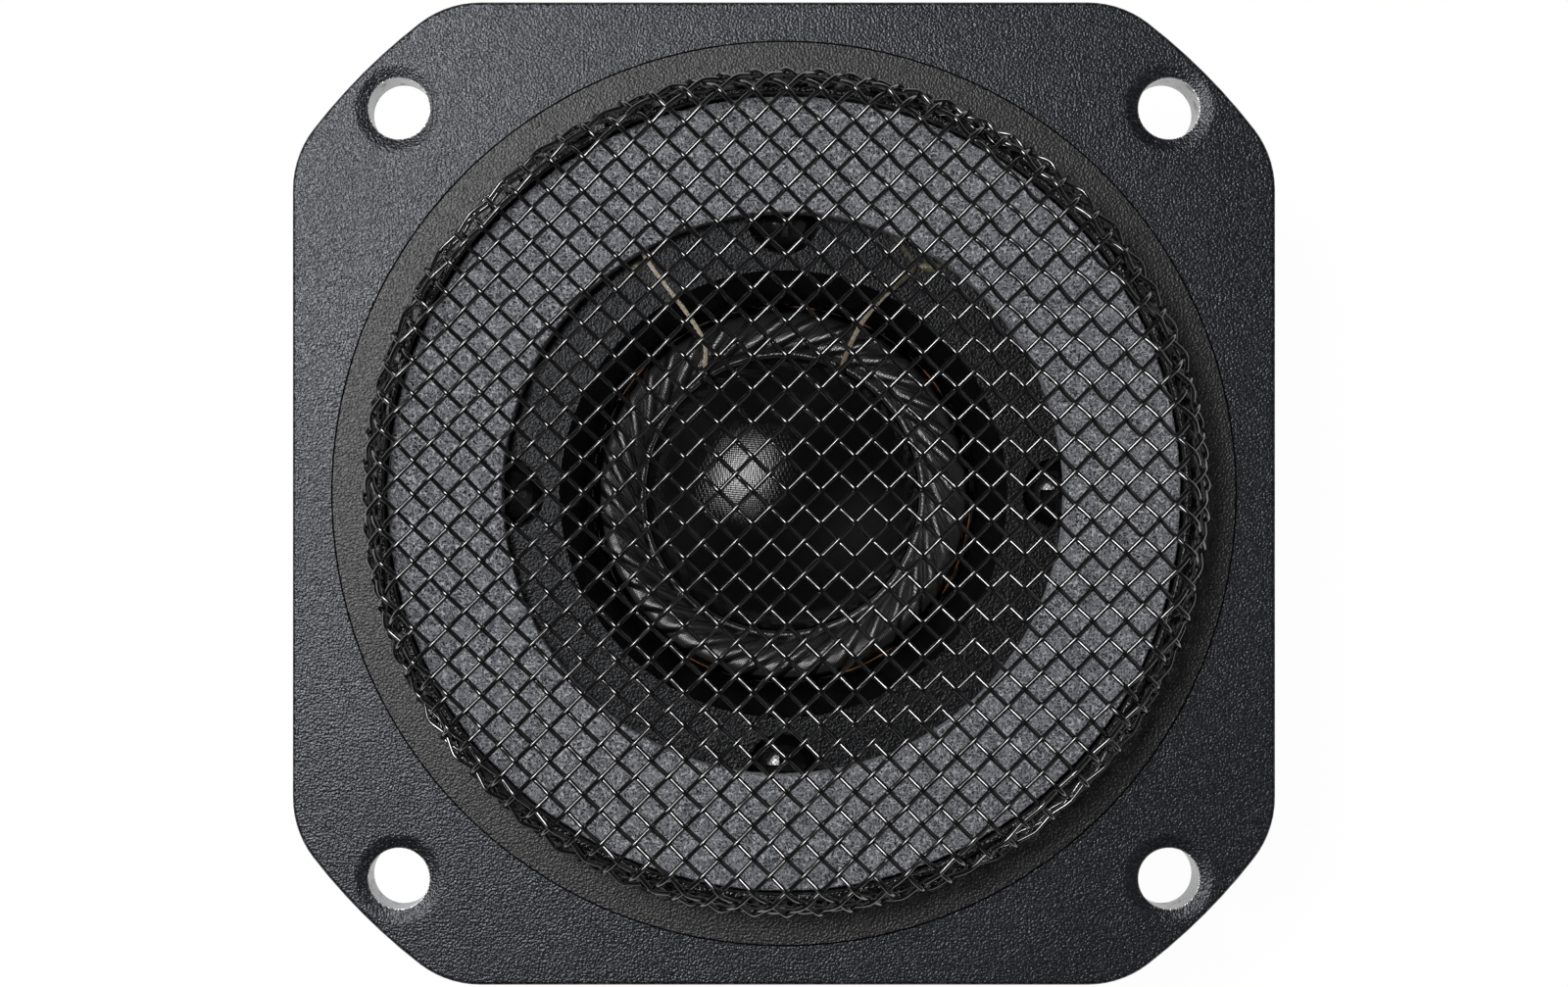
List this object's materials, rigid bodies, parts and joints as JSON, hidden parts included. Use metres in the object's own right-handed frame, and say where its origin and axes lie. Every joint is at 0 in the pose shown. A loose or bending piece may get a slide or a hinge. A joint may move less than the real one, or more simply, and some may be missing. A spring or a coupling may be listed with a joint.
{
  "type": "dome tweeter",
  "caption": "Soft dome tweeter on a square clipped-corner faceplate, with a woven wire grille, damping felt, sprung dome and ring magnet.",
  "frame": {"origin": "centre of the faceplate's rear face, which lies on the baffle", "axes": "+Z out of the front, towards the listener; X and Y along the faceplate's sides, with the terminals on the +Y side"},
  "size_m": [0.104, 0.104, 0.0457],
  "materials": {
    "plate_paint": "textured satin paint",
    "ring_paint": "fine satin paint",
    "grille_wire": "gloss enamel",
    "damping_felt": "fibrous",
    "black_screw": "gloss",
    "flange_plastic": "matte",
    "gasket_fibre": "matte",
    "coated_cloth": "coated satin",
    "amber_adhesive": "gloss",
    "doped_cloth": "doped satin",
    "former_foil": "satin",
    "coil_wire": "gloss",
    "solder": "satin",
    "tinsel_lead": "braided",
    "sleeve_plastic": "matte",
    "olive_adhesive": "gloss",
    "phenolic_board": "satin",
    "tinned_brass": "satin",
    "rivet_brass": "satin",
    "zinc_screw": "satin",
    "plated_steel": "satin",
    "ferrite": "matte",
    "damper_felt": "fibrous"
  },
  "bodies": {
    "housing": {"faceplate": "plate_paint", "grille_ring": "ring_paint", "grille_screen": "grille_wire", "felt_ring": "damping_felt", "clamp_screws": "black_screw", "diaphragm_flange": "flange_plastic", "flange_gasket": "gasket_fibre", "surround": "coated_cloth", "surround_bead": "amber_adhesive", "lead_left": "tinsel_lead", "lead_right": "tinsel_lead", "lead_sleeves": "sleeve_plastic", "lead_adhesive": "olive_adhesive", "terminal_board": "phenolic_board", "terminal_positive": "tinned_brass", "terminal_negative": "tinned_brass", "terminal_rivets": "rivet_brass", "tag_solder": "solder", "board_screw": "zinc_screw", "top_plate": "plated_steel", "magnet_ring": "ferrite", "pole_piece": "plated_steel", "back_plate": "plated_steel", "pole_damper": "damper_felt"},
    "diaphragm": {"dome": "doped_cloth", "coil_former": "former_foil", "voice_coil": "coil_wire", "coil_lead_joints": "solder"}
  },
  "joints": [
    {"name": "dome_travel", "type": "slide", "parent": "housing", "child": "diaphragm", "axis": [0, 0, 1], "range_m": [-0.0005, 0.0005], "stiffness_N_per_m": 300, "deforming": ["surround", "lead_left", "lead_right"]}
  ]
}
